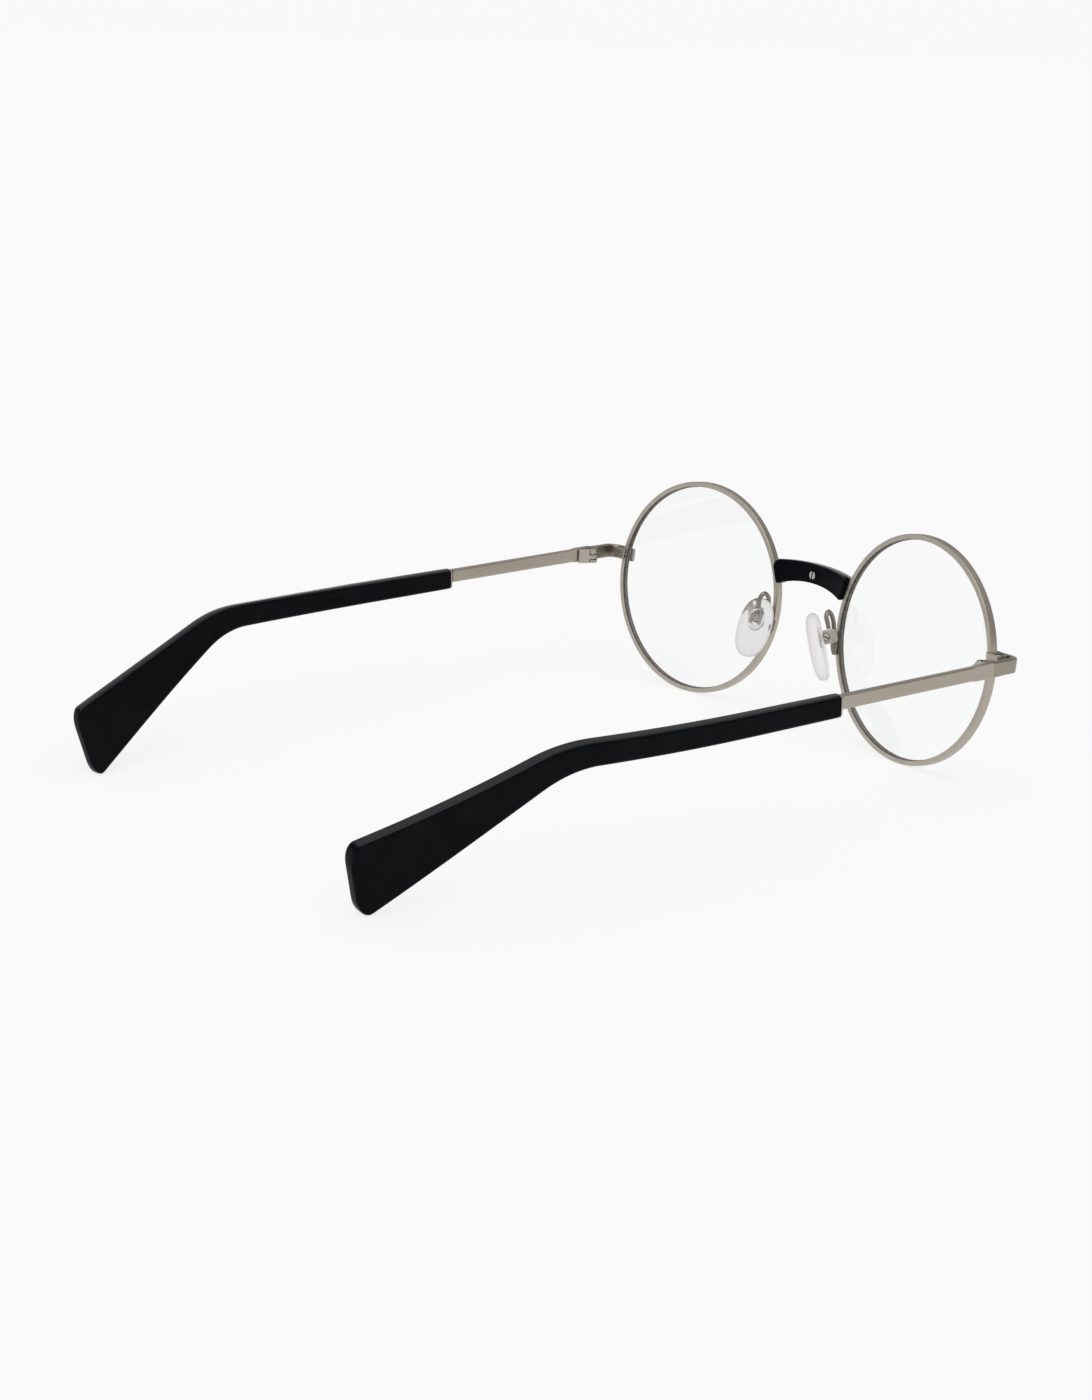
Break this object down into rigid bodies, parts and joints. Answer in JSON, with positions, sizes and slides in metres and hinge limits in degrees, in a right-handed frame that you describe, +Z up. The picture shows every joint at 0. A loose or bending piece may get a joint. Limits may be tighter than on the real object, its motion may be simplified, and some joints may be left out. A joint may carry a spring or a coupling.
{
  "type": "eyeglass frame",
  "caption": "Metal eyeglass frame with a black acetate bridge overlay, clear lenses, hinged temples with black tips, and rocking nose pads on wire arms.",
  "frame": {"origin": "centre of the bounding box at the surface that the frame stands on, under the rims and the temple tips", "axes": "+X to the wearer's left, -Y out through the front of the lenses, +Y back along the temples, +Z up"},
  "size_m": [0.13, 0.16, 0.0495],
  "materials": {
    "satin_nickel": "satin",
    "screw_steel": "satin",
    "black_acetate": "polished",
    "clear_lens": "polished, clear",
    "clear_silicone": "clear, slightly frosted",
    "clear_plastic": "clear, moulded"
  },
  "bodies": {
    "front": {"bridge_bar": "satin_nickel", "bridge_saddle": "black_acetate", "bridge_screw": "screw_steel", "rim_left": "satin_nickel", "rim_right": "satin_nickel", "lens_left": "clear_lens", "lens_right": "clear_lens", "rim_lock_upper_left": "satin_nickel", "rim_lock_upper_right": "satin_nickel", "rim_lock_lower_left": "satin_nickel", "rim_lock_lower_right": "satin_nickel", "rim_lock_screw_left": "screw_steel", "rim_lock_screw_right": "screw_steel", "end_piece_left": "satin_nickel", "end_piece_right": "satin_nickel", "hinge_front_leaf_left": "satin_nickel", "hinge_front_leaf_right": "satin_nickel", "hinge_screw_left": "screw_steel", "hinge_screw_right": "screw_steel", "pad_arm_left": "satin_nickel", "pad_arm_right": "satin_nickel", "pad_box_left": "satin_nickel", "pad_box_right": "satin_nickel", "pad_screw_left": "screw_steel", "pad_screw_right": "screw_steel"},
    "temple_left": {"hinge_temple_leaf_left": "satin_nickel", "temple_bar_left": "satin_nickel", "temple_ferrule_left": "satin_nickel", "temple_tip_left": "black_acetate"},
    "temple_right": {"hinge_temple_leaf_right": "satin_nickel", "temple_bar_right": "satin_nickel", "temple_ferrule_right": "satin_nickel", "temple_tip_right": "black_acetate"},
    "pad_left": {"pad_core_left": "clear_plastic", "nose_pad_left": "clear_silicone"},
    "pad_right": {"pad_core_right": "clear_plastic", "nose_pad_right": "clear_silicone"}
  },
  "joints": [
    {"name": "temple_fold_left", "type": "hinge", "parent": "front", "child": "temple_left", "pos_m": [0.0624, -0.06481, 0.02848], "axis": [-0.0021, 0.0211, 0.9998], "range_deg": [0, 88]},
    {"name": "temple_fold_right", "type": "hinge", "parent": "front", "child": "temple_right", "pos_m": [-0.0624, -0.06481, 0.02848], "axis": [-0.0021, -0.0211, -0.9998], "range_deg": [0, 80]},
    {"name": "nose_pad_rock_left", "type": "hinge", "parent": "front", "child": "pad_left", "pos_m": [0.01135, -0.07165, 0.02303], "axis": [0.6052, 0.7728, 0.1909], "range_deg": [-12, 12]},
    {"name": "nose_pad_rock_right", "type": "hinge", "parent": "front", "child": "pad_right", "pos_m": [-0.01135, -0.07165, 0.02303], "axis": [-0.6052, 0.7728, 0.1909], "range_deg": [-12, 12]}
  ]
}
